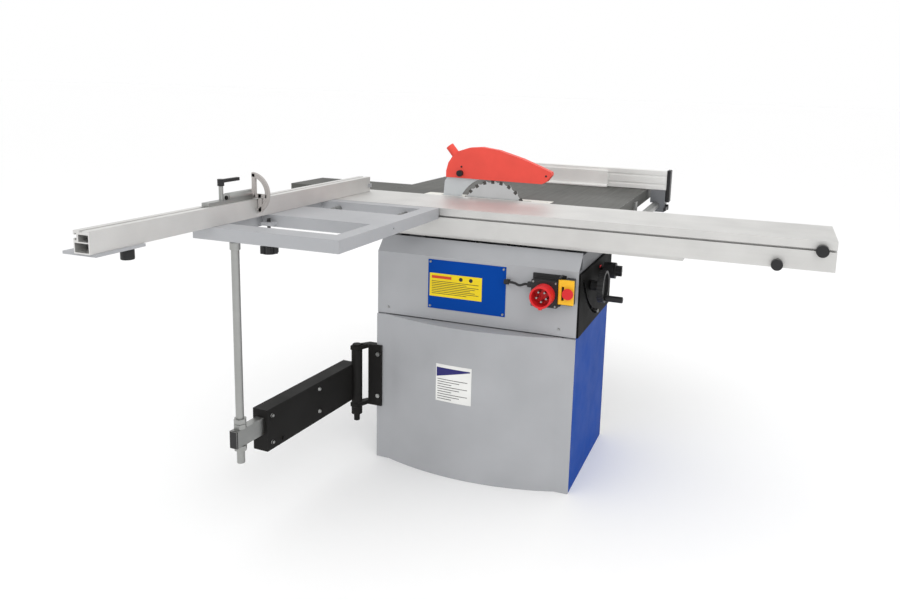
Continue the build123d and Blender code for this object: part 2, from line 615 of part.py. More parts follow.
# ---- crosscut fence ----
def crosscut_fence():
    x1 = fence_x
    x0 = x1 - fence_w
    y0, y1 = fence_y0, fence_y0 + fence_len
    z0, z1 = fence_z0, fence_z0 + fence_h
    xm = (x0 + x1) / 2
    body = box(x0, x1, y0, y1, z0, z1)
    body -= box(x0 + 3, x1 - 3, y0 - 1, y1 + 1, z0 + 3, z0 + 24)
    body -= box(x0 + 14, x1 - 3, y0 - 1, y1 + 1, z0 + 27, z1 - 9)
    body -= box(x0 - 1, x0 + 4, y0 - 1, y1 + 1, z0 + 34, z0 + 42)
    body -= box(x0 + 4, x0 + 9, y0 - 1, y1 + 1, z0 + 30, z0 + 46)
    body -= box(xm - 5, xm + 5, y0 - 1, y1 + 1, z1 - 4, z1 + 1)
    body += rod_z(z0 - 19, z0 + 10, xm, fence_pivot_y, 6)
    keep("crosscut_fence", body)

    plate = box(x0 - 45, x1 + 6, y0 + 10, y0 + 155, z0 - 7, z0)
    plate -= rod_z(z0 - 8, z0 + 1, xm - 8, y0 + 135, 4 + fit)
    knob = rod_z(z0 - 38, z0 - 14, xm - 8, y0 + 135, 16) + rod_z(z0 - 14, z0 + 1.5, xm - 8, y0 + 135, 4)
    nodes["crosscut_fence"] -= rod_z(z0 - 1, z0 + 4, xm - 8, y0 + 135, 5)
    keep("fence_foot_knob", knob)
    join("fence_foot", plate, box(x1, x1 + 8, y1 - 14, y1 - 2, z0 + 16, z0 + 28))

    # flip stop and its clamp
    clamp_y0 = stop_y - 200
    bar = box(xm - 12, xm + 12, clamp_y0, stop_y - 16, z1 + gap, z1 + 10)
    bar += box(xm - 4.5, xm + 4.5, clamp_y0 + 20, stop_y - 30, z1 - 3.5, z1 + 1)
    axle_z = z1 + 14
    bar += rod_y(stop_y - 115, stop_y - 16, xm, axle_z, 13)
    bar -= rod_y(stop_y - 116, stop_y - 15, xm, axle_z, 6 + fit)
    bar += rod_z(z1 + 9, z1 + 48, xm, stop_y - 136, 6)
    keep("stop_clamp", bar)

    radius = 61.0
    disc = rod_y(stop_y - 10, stop_y, xm, axle_z, radius) - box(xm - 80, xm + 4, stop_y - 11, stop_y + 1,
                                                              axle_z - 80, axle_z + 80)
    ring = disc - rod_y(stop_y - 11, stop_y + 1, xm, axle_z, radius - 8)
    edge = box(xm + 4, xm + 11, stop_y - 10, stop_y, axle_z - radius + 2, axle_z + radius - 2)
    spoke = box(xm + 4, xm + radius - 2, stop_y - 10, stop_y, axle_z - 9, axle_z - 2)
    flip = ring + edge + spoke + rod_y(stop_y - 15.5, stop_y, xm, axle_z, 13)
    flip -= box(xm - 60, x1 + 1.5, stop_y - 20, stop_y + 5, axle_z - 90, z1 + 0.6)
    flip += rod_y(stop_y - 100, stop_y - 1, xm, axle_z, 6)
    keep("flip_stop", flip)

    lever_z = z1 + 49
    lever = rod_z(lever_z, lever_z + 18, xm, stop_y - 136, 9)
    lever -= rod_z(lever_z - 1, lever_z + 4, xm, stop_y - 136, 6)
    lever += box(xm - 5, xm + 5, stop_y - 136, stop_y - 62, lever_z + 8, lever_z + 17)
    keep("ratchet_lever", lever)


# ---- swing arm ----
def swing_arm(table_bolts):
    ear_top = 399.0
    ear_low = 186.0
    flange_y = cab_near - 6
    bracket = box(-366, -316, flange_y - 8, flange_y, ear_low, ear_top)
    bracket += box(-cab_x - 8, -cab_x, flange_y - 1, cab_near + 60, ear_low, ear_top)
    for z0, z1 in ((ear_top - 14, ear_top), (ear_low, ear_low + 14)):
        ear = along_z([(-366, flange_y - 8), (-cab_x - 7, flange_y - 1), (-cab_x - 7, -300), (-372, -300),
                       (hinge_x - 18, hinge_y + 4), (hinge_x - 16, hinge_y - 16), (hinge_x + 10, hinge_y - 18)],
                      z0, z1)
        bracket += ear
    pin_r = 10.0
    bracket -= rod_z(ear_low - 1, ear_top + 1, hinge_x, hinge_y, pin_r)
    pin = rod_z(ear_low - 50, ear_top + 4, hinge_x, hinge_y, pin_r)
    pin += rod_z(ear_low - 26, ear_low, hinge_x, hinge_y, 18)
    pin += rod_z(ear_top, ear_top + 5, hinge_x, hinge_y, 14)
    join("arm_bracket", bracket, pin)
    bolts = None
    for z in (223, 369):
        bolt = rod_y(flange_y - 14, flange_y - 8, -328, z, 7)
        bolts = bolt if bolts is None else bolts + bolt
    nodes["frame_bolts"] = Compound(children=list(table_bolts.solids()) + list(bolts.solids()))

    # the arm is drawn along -Y from the hinge, then turned a little about the hinge pin
    length = (hinge_y - arm_end_y) / math.cos(math.radians(arm_angle))
    cx = -34.0
    tube = box(cx - arm_w / 2, cx + arm_w / 2, -length, 8, arm_z0, arm_z1)
    tube -= box(cx - arm_w / 2 + 3, cx + arm_w / 2 - 3, -length - 1, 5, arm_z0 + 3, arm_z1 - 3)
    barrel = rod_z(ear_low + 14 + 1, ear_top - 14 - 1, 0, 0, 18)
    arm = tube + barrel + box(cx + arm_w / 2 - 3, -8, -16, 8, arm_z0, arm_z1)
    mid = (arm_z0 + arm_z1) / 2 + 14
    z0, z1 = mid - tube_h / 2, mid + tube_h / 2
    for a, b in ((-length, -length + 6), (-length + 150, -length + 156)):
        arm += box(cx - arm_w / 2 + 2, cx + arm_w / 2 - 2, a, b, arm_z0 + 2, arm_z1 - 2)
        arm -= box(cx - tube_w / 2 - fit, cx + tube_w / 2 + fit, a - 1, b + 1, z0 - fit, z1 + fit)
    arm -= rod_z(ear_low, ear_top, 0, 0, pin_r + fit)
    arm -= box(cx - tube_w / 2 - fit, cx + tube_w / 2 + fit, -length - 1, -length + 12, z0 - fit, z1 + fit)
    arm_bolts = None
    for y, z in ((-length + 22, arm_z1 - 22), (-length + 22, arm_z0 + 22), (-length + 70, arm_z0 + 14)):
        bolt = rod_x(cx + arm_w / 2, cx + arm_w / 2 + 5, y, z, 6)
        arm_bolts = bolt if arm_bolts is None else arm_bolts + bolt
    join("arm_tube", turn_about_hinge(arm), turn_about_hinge(arm_bolts))

    reach = math.hypot(post_x - hinge_x + 34, post_y - hinge_y)
    inner = box(cx - tube_w / 2, cx + tube_w / 2, -reach - 26, -length + 245, z0, z1)
    inner -= box(cx - tube_w / 2 + 2.5, cx + tube_w / 2 - 2.5, -reach - 27, -length + 246, z0 + 2.5, z1 - 2.5)
    inner = turn_about_hinge(inner)
    inner -= rod_z(z0 - 1, z1 + 1, post_x, post_y, post_r)
    cap = box(cx - tube_w / 2, cx + tube_w / 2, -reach - 31, -reach - 26, z0, z1)
    join("inner_tube", inner, turn_about_hinge(cap))
    top = rig_z0 - 3
    post = rod_z(arm_z0, top - 20, post_x, post_y, post_r)
    collar = rod_z(top - 20, top, post_x, post_y, post_r + 3)
    nuts = None
    for a, b in ((z1, z1 + 14), (z1 + 15, z1 + 29), (z0 - 14, z0)):
        nut = Pos(post_x, post_y, a) * extrude(RegularPolygon(18, 6), b - a)
        nut -= rod_z(a - 1, b + 1, post_x, post_y, post_r)
        nuts = nut if nuts is None else nuts + nut
    join("support_post", post, collar, nuts)


# ---- switch and controls ----
def switch():
    face = cab_near
    x0, x1, z0, z1 = 197.0, 283.0, 607.0, 704.0
    depth = 36.0
    body = box(x0 - 2, x1 + 18, face - 4, face, z0 + 30, z1)
    body += box(x0 + 3, x1, face - depth, face, z0, z1 - 14)
    back = box(x0 - 2, x1 + 18, face - 4, face, z0 + 30, z1)
    keep("switch_box", body)
    cx, cz = (x0 + x1) / 2 + 2, z0 + 40
    shroud = rod_y(face - depth - 44, face - depth, cx, cz, 34)
    shroud -= rod_y(face - depth - 45, face - depth - 4, cx, cz, 28)
    shroud += box(cx - 5, cx + 5, face - depth - 44, face - depth, cz - 38, cz - 31)
    for i in range(5):
        a = math.radians(90 + 36 + 72 * i)
        shroud += rod_y(face - depth - 30, face - depth - 4, cx + 16 * math.cos(a), cz + 16 * math.sin(a), 3)
    keep("mains_inlet", shroud)
    screws = list(nodes["cover_screws"].solids())
    for x in (x0 + 9, x1 - 6):
        for z in (z0 + 6, z1 - 20):
            screws.append(rod_y(face - depth - 2, face - depth, x, z, 3.5))
    join("cover_screws", *screws)

    # emergency-stop switch: grey body, yellow flap hinged at its left edge, red button in the flap
    sx0, sx1 = x1 + 0.5, 333.0
    sz0, sz1 = 619.0, 702.0
    base_y = face - 30
    base = box(sx0, sx1 - 4, base_y, face, sz0, sz1 - 30)
    base += box(sx0 + 20, sx1 - 4, base_y, face, sz0, sz1 - 4)
    base -= back
    px, pz = sx0 + 6, base_y - 5
    flap = box(px, sx1, base_y - 9, base_y - 1, sz0 + 4, sz1 - 4)
    flap -= box(sx0 + 12, sx0 + 20, base_y - 10, base_y, sz0 + 16, sz1 - 24)
    flap += rod_z(sz0 + 4, sz1 - 4, px, pz, 4.7)
    button_x, button_z = sx1 - 16, (sz0 + sz1) / 2 - 2
    flap -= rod_y(base_y - 10, base_y, button_x, button_z, 8 + fit)
    flap -= rod_z(sz0, sz1, px, pz, 2.5 + fit)
    keep("stop_flap", flap)
    pin = rod_z(sz0 - 1, sz1 + 2, px, pz, 2.5)
    pin += box(px - 4, px + 4, pz - 4, base_y + 1, sz0 - 3, sz0 + 3)
    pin += box(px - 4, px + 4, pz - 4, base_y + 1, sz1 - 3, sz1 + 3)
    pin += box(px - 4, px + 4, base_y, face, sz1 - 30, sz1 + 3)
    base -= rod_y(base_y - 1, base_y + 6, button_x, button_z, 9)
    join("switch_base", base, pin - base - back)
    mushroom_r = 17.0      # clears the inlet shroud with the flap open
    button = rod_y(base_y - 22, base_y - 14, button_x, button_z, mushroom_r)
    button += rod_y(base_y - 15, base_y - 1.5, button_x, button_z, 8)
    keep("stop_button", button)


def switch_cable():
    face = cab_near
    y = face - 17.0
    z = 668.0
    glands = rod_x(184, 200, y, z, 9) + rod_x(108, 122, y, z, 8)
    glands += box(110, 122, y, face, z - 5, z + 5)
    points = [(122, y, z), (140, y, z), (158, y - 3, z - 7), (174, y, z), (184, y, z)]
    radii = []
    for a, b, c in zip(points, points[1:], points[2:]):
        one, two = Vector(*b) - Vector(*a), Vector(*c) - Vector(*b)
        turn = one.get_angle(two)
        radii.append(0.45 * min(one.length, two.length) / math.tan(math.radians(turn / 2)))
    print("cable radii", [round(r, 1) for r in radii])
    path = FilletPolyline(*points, radius=radii)
    section = Plane(origin=points[0], z_dir=(1, 0, 0)) * Circle(4)
    cable = sweep(section, path=path)
    print("cable volume", round(cable.volume), "expected", round(math.pi * 16 * path.length))
    join("switch_cable", cable, glands)


def hand_controls():
    face = cab_x + 6
    wheel = rod_x(face + 1, face + 30, wheel_y, wheel_z, 16)
    web = rod_x(face + 30, face + 38, wheel_y, wheel_z, wheel_r - 4)
    rim = rod_x(face + 28, face + 48, wheel_y, wheel_z, wheel_r)
    rim -= rod_x(face + 38, face + 49, wheel_y, wheel_z, wheel_r - 9)
    rim -= rod_x(face + 27, face + 30, wheel_y, wheel_z, wheel_r - 9)
    wheel = wheel + web + rim
    for i in range(24):
        a = math.radians(15 * i)
        groove_y = wheel_y + (wheel_r + 1) * math.cos(a)
        groove_z = wheel_z + (wheel_r + 1) * math.sin(a)
        wheel -= rod_x(face + 27, face + 49, groove_y, groove_z, 2.4)
    wheel += rod_x(cab_x - 60, face + 2, wheel_y, wheel_z, 7)
    cy, cz = wheel_y - 4, wheel_z - wheel_r + 15
    keep("handwheel", wheel + rod_x(face + 30, face + 104, cy, cz, 4))
    grip = rod_x(face + 48.5, face + 104, cy, cz, 10) - rod_x(face + 48, face + 104.5, cy, cz, 4 + fit)
    keep("crank_handle", grip)

    knob = rod_x(face + 8, face + 48, tilt_y, tilt_z, 27) + rod_x(face + 48, face + 68, tilt_y, tilt_z, 9)
    knob += box(face + 48, face + 68, tilt_y - 6, tilt_y + 6, tilt_z - 17, tilt_z + 17)
    knob += rod_x(cab_x - 60, face + 9, tilt_y, tilt_z, 7)
    keep("tilt_knob", knob)


cabinet()
table_bolts = tables()
rip_fence()
saw_unit()
guard()
sliding_table()
outrigger()
crosscut_fence()
swing_arm(table_bolts)
switch()
switch_cable()
hand_controls()

print(len(nodes), "nodes")
for name, shape in nodes.items():
    export_step(shape, f"parts/{name}.step")
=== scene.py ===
import json
import math
import bmesh
import bpy
from mathutils import Matrix, Vector


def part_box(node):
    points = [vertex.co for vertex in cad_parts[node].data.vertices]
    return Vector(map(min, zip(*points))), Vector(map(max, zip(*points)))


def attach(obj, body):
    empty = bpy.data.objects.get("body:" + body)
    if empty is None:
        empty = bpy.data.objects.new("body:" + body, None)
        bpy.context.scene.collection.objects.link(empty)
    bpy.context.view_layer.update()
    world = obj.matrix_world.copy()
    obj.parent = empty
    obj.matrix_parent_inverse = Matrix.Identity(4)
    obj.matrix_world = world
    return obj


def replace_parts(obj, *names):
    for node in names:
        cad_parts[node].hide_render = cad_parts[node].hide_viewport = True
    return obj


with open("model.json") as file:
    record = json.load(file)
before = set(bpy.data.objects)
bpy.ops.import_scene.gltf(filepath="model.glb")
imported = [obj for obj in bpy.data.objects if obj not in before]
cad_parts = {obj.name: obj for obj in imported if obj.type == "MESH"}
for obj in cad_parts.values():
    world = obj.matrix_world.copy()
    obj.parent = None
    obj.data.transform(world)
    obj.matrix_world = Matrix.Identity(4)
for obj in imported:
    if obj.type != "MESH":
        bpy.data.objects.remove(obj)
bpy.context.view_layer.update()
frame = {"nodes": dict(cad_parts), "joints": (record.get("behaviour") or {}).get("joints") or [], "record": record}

slotOf = {part["node"]: part["material_slot"] for part in frame["record"]["subparts"]}
bodyOf = {node: body for body, nodes in frame["record"]["behaviour"]["bodies"].items() for node in nodes}
print("frame loaded:", len(slotOf), "nodes")


camera = {
    "place": (0.8587, -2.5759, 1.2542),
    "turn": 19.64, "tip": -10.38, "roll": -1.74,   # degrees
    "sensor": 36, "lens": 31.57, "shiftX": -0.0447, "shiftY": -0.0750,
}
lights = {
    "key": {"place": (2.4, -3.8, 3.6), "size": 2.4, "power": 44, "aim": (0.1, -0.3, 0.6)},
    "fill": {"place": (-3.8, -2.4, 2.2), "size": 3.0, "power": 4, "aim": (-0.1, -0.3, 0.6)},
    "top": {"place": (0.0, 0.6, 4.6), "size": 3.4, "power": 8, "aim": (0, 0, 0.8)},
    "back": {"place": (-1.0, 4.4, 3.0), "size": 2.6, "power": 8, "aim": (0, 0.3, 0.7)},
}
surround = {
    "sky": (1.0, 1.0, 1.0), "skyStrength": 1.0,
    "floor": (1.0, 1.0, 1.0), "floorSize": 120.0, "floorRough": 0.7,
}


def makeCamera(c):
    turn = (Matrix.Rotation(math.radians(c["turn"]), 3, "Z")
            @ Matrix.Rotation(math.radians(c["tip"]), 3, "X")
            @ Matrix.Rotation(math.radians(c["roll"]), 3, "Y"))
    right, ahead, up = turn.col[0], turn.col[1], turn.col[2]
    data = bpy.data.cameras.new("mainCamera")
    data.sensor_width = c["sensor"]
    data.sensor_fit = "HORIZONTAL"
    data.lens = c["lens"]
    data.shift_x, data.shift_y = c["shiftX"], c["shiftY"]
    holder = bpy.data.objects.new("mainCamera", data)
    basis = Matrix((right, up, -ahead)).transposed().to_4x4()
    holder.matrix_world = Matrix.Translation(c["place"]) @ basis
    bpy.context.scene.collection.objects.link(holder)
    bpy.context.scene.camera = holder


def makeLights():
    for name, spec in lights.items():
        data = bpy.data.lights.new(name, "AREA")
        data.energy, data.size = spec["power"], spec["size"]
        lamp = bpy.data.objects.new(name, data)
        lamp.location = spec["place"]
        lamp.rotation_euler = (Vector(spec["aim"]) - lamp.location).to_track_quat("-Z", "Y").to_euler()
        bpy.context.scene.collection.objects.link(lamp)
    world = bpy.data.worlds.new("softSky")
    world.use_nodes = True
    sky = world.node_tree.nodes["Background"]
    sky.inputs["Color"].default_value = (*surround["sky"], 1)
    sky.inputs["Strength"].default_value = surround["skyStrength"]
    bpy.context.scene.world = world
    bpy.context.scene.view_settings.view_transform = "Standard"


# Shader groups, each shared by several materials.
noiseDetail = {"mottle": 5, "grain": 3, "strokes": 4, "wear": 6}
noiseRange = {"low": 0.3, "high": 0.7}      # where plain noise is taken to start and end
wearRange = {"low": 0.5, "high": 0.66}      # narrower, so wear comes in patches


def newGroup(name, inputs, outputs):
    group = bpy.data.node_groups.new(name, "ShaderNodeTree")
    for label, kind, value in inputs:
        socket = group.interface.new_socket(label, in_out="INPUT", socket_type=kind)
        socket.default_value = value
    for label, kind in outputs:
        group.interface.new_socket(label, in_out="OUTPUT", socket_type=kind)
    return group, group.nodes.new("NodeGroupInput"), group.nodes.new("NodeGroupOutput")


def addNode(tree, kind, **settings):
    node = tree.nodes.new(kind)
    for key, value in settings.items():
        setattr(node, key, value)
    return node


def feed(tree, socket, given):   # a link from another socket, or a plain value
    if isinstance(given, bpy.types.NodeSocket):
        tree.links.new(given, socket)
    else:
        socket.default_value = (*given, 1) if socket.type == "RGBA" else given


def product(tree, first, second):
    times = addNode(tree, "ShaderNodeMath", operation="MULTIPLY")
    feed(tree, times.inputs[0], first)
    feed(tree, times.inputs[1], second)
    return times.outputs["Value"]


def noiseAt(tree, vector, scale, detail):
    noise = addNode(tree, "ShaderNodeTexNoise")
    noise.inputs["Detail"].default_value = detail
    feed(tree, noise.inputs["Vector"], vector)
    feed(tree, noise.inputs["Scale"], scale)
    return noise.outputs["Fac"]


def spread(tree, value, low, high, span=noiseRange):   # noise stretched to run from low to high
    remap = addNode(tree, "ShaderNodeMapRange")
    for label, amount in (("Value", value), ("From Min", span["low"]), ("From Max", span["high"]),
                          ("To Min", low), ("To Max", high)):
        feed(tree, remap.inputs[label], amount)
    return remap.outputs["Result"]


def objectPlace(tree):
    return addNode(tree, "ShaderNodeTexCoord").outputs["Object"]


def mottleGroup():   # slow cloudy change over a surface, between two values
    group, given, out = newGroup(
        "mottle",
        [("Scale", "NodeSocketFloat", 6), ("Low", "NodeSocketFloat", 0.3), ("High", "NodeSocketFloat", 0.5)],
        [("Value", "NodeSocketFloat")])
    cloud = noiseAt(group, objectPlace(group), given.outputs["Scale"], noiseDetail["mottle"])
    feed(group, out.inputs["Value"], spread(group, cloud, given.outputs["Low"], given.outputs["High"]))
    return group


def grainGroup():   # fine relief, as of orange peel or moulded plastic
    group, given, out = newGroup(
        "grain",
        [("Scale", "NodeSocketFloat", 700)],
        [("Height", "NodeSocketFloat")])
    fine = noiseAt(group, objectPlace(group), given.outputs["Scale"], noiseDetail["grain"])
    feed(group, out.inputs["Height"], fine)
    return group


def strokesGroup():   # long fine strokes, along the axis whose stretch is smallest
    group, given, out = newGroup(
        "strokes",
        [("Stretch", "NodeSocketVector", (3, 300, 300)), ("Low", "NodeSocketFloat", 0.25),
         ("High", "NodeSocketFloat", 0.4)],
        [("Value", "NodeSocketFloat"), ("Height", "NodeSocketFloat")])
    scaled = addNode(group, "ShaderNodeVectorMath", operation="MULTIPLY")
    feed(group, scaled.inputs[0], objectPlace(group))
    feed(group, scaled.inputs[1], given.outputs["Stretch"])
    strokes = noiseAt(group, scaled.outputs["Vector"], 1.0, noiseDetail["strokes"])   # scaled already
    feed(group, out.inputs["Value"], spread(group, strokes, given.outputs["Low"], given.outputs["High"]))
    feed(group, out.inputs["Height"], strokes)
    return group


def wearGroup():   # broken-up mask on rounded edges, from the attribute that softened pieces carry
    group, given, out = newGroup(
        "edgeWear",
        [("Scale", "NodeSocketFloat", 45), ("Amount", "NodeSocketFloat", 0.5)],
        [("Mask", "NodeSocketFloat")])
    band = addNode(group, "ShaderNodeAttribute", attribute_name="edgeBand")
    clouds = noiseAt(group, objectPlace(group), given.outputs["Scale"], noiseDetail["wear"])
    masked = product(group, band.outputs["Fac"], spread(group, clouds, 0, 1, wearRange))
    feed(group, out.inputs["Mask"], product(group, masked, given.outputs["Amount"]))
    return group


groups = {"mottle": mottleGroup(), "grain": grainGroup(), "strokes": strokesGroup(), "wear": wearGroup()}


def useGroup(tree, name, **values):
    node = addNode(tree, "ShaderNodeGroup", node_tree=groups[name])
    for label, value in values.items():
        node.inputs[label].default_value = value
    return node


def startMaterial(name):
    made = bpy.data.materials.new(name)
    made.use_nodes = True
    return made, made.node_tree, made.node_tree.nodes["Principled BSDF"]


def mixColours(tree, mask, first, second):
    mix = addNode(tree, "ShaderNodeMix", data_type="RGBA")
    feed(tree, mix.inputs["Factor"], mask)
    feed(tree, mix.inputs[6], first)     # the mix node's two colour inputs
    feed(tree, mix.inputs[7], second)
    return mix.outputs[2]


def relief(tree, shader, height, strength, distance):
    bump = addNode(tree, "ShaderNodeBump")
    bump.inputs["Strength"].default_value = strength
    bump.inputs["Distance"].default_value = distance
    feed(tree, bump.inputs["Height"], height)
    feed(tree, shader.inputs["Normal"], bump.outputs["Normal"])


def tinted(colour, factor):
    return tuple(min(1, c * factor) for c in colour)


def clouded(tree, colour, feel):   # the colour, drifting between a darker and a lighter shade
    mask = useGroup(tree, "mottle", Scale=feel["clouds"], Low=0, High=1).outputs["Value"]
    return mixColours(tree, mask, tinted(colour, feel["dark"]), tinted(colour, feel["light"]))


paintFeel = {"clouds": 5, "dark": 0.93, "light": 1.05, "wearScale": 60, "bare": (0.2, 0.2, 0.2),
             "glossScale": 9, "smoother": 0.05, "rougher": 0.07, "peel": 650, "bump": 0.12, "depth": 0.0004}
plasticFeel = {"clouds": 11, "dark": 0.94, "light": 1.06, "wearScale": 80, "wear": 0.3, "rubbed": 1.5,
               "glossScale": 14, "smoother": 0.05, "rougher": 0.08, "gleam": 0.3, "depth": 0.0003}
metalFeel = {"clouds": 7, "dark": 0.92, "light": 1.04, "depth": 0.0002}


def coated(name, colour, rough, wear, bare, gleam, grain, bump, feel):   # what paint and plastic share
    made, tree, shader = startMaterial(name)
    edge = useGroup(tree, "wear", Scale=feel["wearScale"], Amount=wear)
    worn = mixColours(tree, edge.outputs["Mask"], clouded(tree, colour, feel), bare)
    feed(tree, shader.inputs["Base Color"], worn)
    gloss = useGroup(tree, "mottle", Scale=feel["glossScale"], Low=rough - feel["smoother"],
                     High=rough + feel["rougher"])
    feed(tree, shader.inputs["Roughness"], gloss.outputs["Value"])
    shader.inputs["Specular IOR Level"].default_value = gleam
    relief(tree, shader, useGroup(tree, "grain", Scale=grain).outputs["Height"], bump, feel["depth"])
    return made


def paint(name, colour, rough, wear=0.5, gleam=0.3):
    return coated(name, colour, rough, wear, paintFeel["bare"], gleam, paintFeel["peel"], paintFeel["bump"],
                  paintFeel)


def plastic(name, colour, rough, grain=1100, bump=0.14):
    return coated(name, colour, rough, plasticFeel["wear"], tinted(colour, plasticFeel["rubbed"]),
                  plasticFeel["gleam"], grain, bump, plasticFeel)


def metal(name, colour, stretch=(2, 150, 150), low=0.46, high=0.54, metallic=1.0, bump=0.02):
    made, tree, shader = startMaterial(name)
    strokes = useGroup(tree, "strokes", Stretch=stretch, Low=low, High=high)
    feed(tree, shader.inputs["Base Color"], clouded(tree, colour, metalFeel))
    feed(tree, shader.inputs["Roughness"], strokes.outputs["Value"])
    shader.inputs["Metallic"].default_value = metallic
    relief(tree, shader, strokes.outputs["Height"], bump, metalFeel["depth"])
    return made


ironTop = {"colour": (0.105, 0.106, 0.098), "clouds": 3.2, "dark": 0.72, "light": 1.18,
           "stretch": (110, 3, 110), "smooth": 0.5, "rough": 0.6, "wearScale": 40, "wear": 0.5,
           "bare": (0.34, 0.34, 0.33), "metallic": 0.1, "gleam": 0.12, "bump": 0.02, "depth": 0.0002}


def groundIron(name, c):   # planed and oiled table top, with fine milling strokes and darker stains
    made, tree, shader = startMaterial(name)
    strokes = useGroup(tree, "strokes", Stretch=c["stretch"], Low=c["smooth"], High=c["rough"])
    edge = useGroup(tree, "wear", Scale=c["wearScale"], Amount=c["wear"])
    worn = mixColours(tree, edge.outputs["Mask"], clouded(tree, c["colour"], c), c["bare"])
    feed(tree, shader.inputs["Base Color"], worn)
    feed(tree, shader.inputs["Roughness"], strokes.outputs["Value"])
    shader.inputs["Metallic"].default_value = c["metallic"]
    shader.inputs["Specular IOR Level"].default_value = c["gleam"]
    relief(tree, shader, strokes.outputs["Height"], c["bump"], c["depth"])
    return made


alongY = (150, 2, 150)   # brushing that runs along Y


def allMaterials():   # the record's slots by their own names, then finishes for single pieces
    return {
        "frame_paint": paint("framePaint", (0.16, 0.165, 0.175), rough=0.5),
        "grey_paint": paint("greyPaint", (0.385, 0.392, 0.408), rough=0.42, wear=0.3),
        "blue_paint": paint("bluePaint", (0.001, 0.052, 0.31), rough=0.5, wear=0.3, gleam=0.05),
        "black_paint": paint("blackPaint", (0.006, 0.0058, 0.0056), rough=0.6, wear=0.25, gleam=0.04),
        "motor_paint": paint("motorPaint", (0.05, 0.085, 0.14), rough=0.42),
        "cast_iron": groundIron("tableIron", ironTop),
        "aluminium": metal("brushedAluminium", (0.64, 0.635, 0.62)),
        "zinc_steel": metal("zincPlate", (0.36, 0.365, 0.355), stretch=(14, 14, 120), low=0.34, high=0.46),
        "blade_steel": metal("bladeSteel", (0.66, 0.67, 0.68), stretch=(60, 60, 60), low=0.36, high=0.5,
                             metallic=0.85, bump=0.01),
        "red_plastic": plastic("redPlastic", (0.66, 0.018, 0.022), rough=0.42, grain=900, bump=0.05),
        "yellow_plastic": plastic("yellowPlastic", (0.88, 0.50, 0.02), rough=0.42, grain=900, bump=0.05),
        "white_plastic": plastic("whitePlastic", (0.78, 0.77, 0.72), rough=0.5),
        "black_plastic": plastic("blackPlastic", (0.018, 0.018, 0.019), rough=0.42),
        "belt_rubber": plastic("beltRubber", (0.012, 0.012, 0.012), rough=0.75, grain=500, bump=0.3),
        "label_film": plastic("labelFilm", (0.80, 0.60, 0.008), rough=0.5, grain=1500, bump=0.03),
        "armBlack": paint("armBlack", (0.013, 0.0125, 0.012), rough=0.5, wear=0.25, gleam=0.1),
        "aluminiumAlongY": metal("brushedAluminiumAlongY", (0.70, 0.695, 0.68), stretch=alongY,
                                 metallic=0.85),
        # a paler, less metallic copy of the aluminium for the rip profiles; its extra paleness is painted light,
        # standing in for the brighter light on their faces
        "paintedLightAluminium": metal("paintedLightAluminium", (0.82, 0.82, 0.80), stretch=alongY, low=0.4, high=0.5,
                               metallic=0.35),
        "knifeSteel": metal("knifeSteel", (0.66, 0.69, 0.71), stretch=(40, 40, 40), low=0.4, high=0.55,
                            metallic=0.7, bump=0.01),
        "toothSteel": metal("toothSteel", (0.10, 0.095, 0.09), stretch=(60, 60, 60), low=0.45, high=0.6,
                            metallic=0.6, bump=0.01),
        "guardRed": plastic("guardRed", (0.83, 0.085, 0.062), rough=0.55, grain=900, bump=0.05),
        "castWarmGrey": plastic("castWarmGrey", (0.40, 0.375, 0.36), rough=0.5, grain=500, bump=0.12),
        "labelWhite": plastic("labelWhite", (0.78, 0.78, 0.76), rough=0.4, grain=1500, bump=0.04),
        "labelInk": plastic("labelInk", (0.022, 0.022, 0.022), rough=0.45, grain=1500, bump=0.04),
        "labelRed": plastic("labelRed", (0.6, 0.06, 0.02), rough=0.5, grain=1500, bump=0.03),
        "labelNavy": plastic("labelNavy", (0.022, 0.02, 0.14), rough=0.5, grain=1500, bump=0.03),
    }


materials = allMaterials()
ownFinish = {   # where a node's finish isn't its slot's plain one
    "crosscut_fence": "aluminiumAlongY", "flip_stop": "aluminiumAlongY", "riving_knife": "knifeSteel",
    # the rip profiles take the aluminium copy whose extra paleness is painted light
    "guard_shell": "guardRed", "guard_spout": "guardRed", "rip_profile": "paintedLightAluminium",
    "rip_face_profile": "paintedLightAluminium", "arm_tube": "armBlack", "arm_bracket": "armBlack",
}
print("materials:", len(materials))


def finishOf(node):
    return ownFinish.get(node, slotOf[node])


def dressCad():
    for name, thing in frame["nodes"].items():
        thing.data.materials.clear()
        thing.data.materials.append(materials[finishOf(name)])


meshRules = {"weld": 2e-6,               # metres, within which two points become one
             "flat": 0.6, "sharp": 35}   # degrees, below which faces merge and above which edges show


def toPiece(name, bm, body, finish):
    mesh = bpy.data.meshes.new(name)
    for face in bm.faces:
        face.smooth = True
    for edge in bm.edges:
        edge.smooth = not (edge.is_manifold and edge.calc_face_angle() > math.radians(meshRules["sharp"]))
    bm.to_mesh(mesh)
    bm.free()
    piece = bpy.data.objects.new(name, mesh)
    bpy.context.scene.collection.objects.link(piece)
    mesh.materials.append(materials[finish])
    weigh = piece.modifiers.new("weigh", "WEIGHTED_NORMAL")
    weigh.keep_sharp = True
    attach(piece, body)
    return piece


def boxOf(points):   # lowest and highest corners
    low = Vector([min(p[i] for p in points) for i in range(3)])
    high = Vector([max(p[i] for p in points) for i in range(3)])
    return low, high


def roundOff(bm, width, angle=30, segments=2):   # bevels every edge sharper than the angle
    sharp = [e for e in bm.edges if e.is_manifold and e.calc_face_angle() > math.radians(angle)]
    return bmesh.ops.bevel(bm, geom=sharp, offset=width, offset_type="OFFSET", segments=segments,
                           profile=0.5, affect="EDGES", clamp_overlap=True, material=-1)


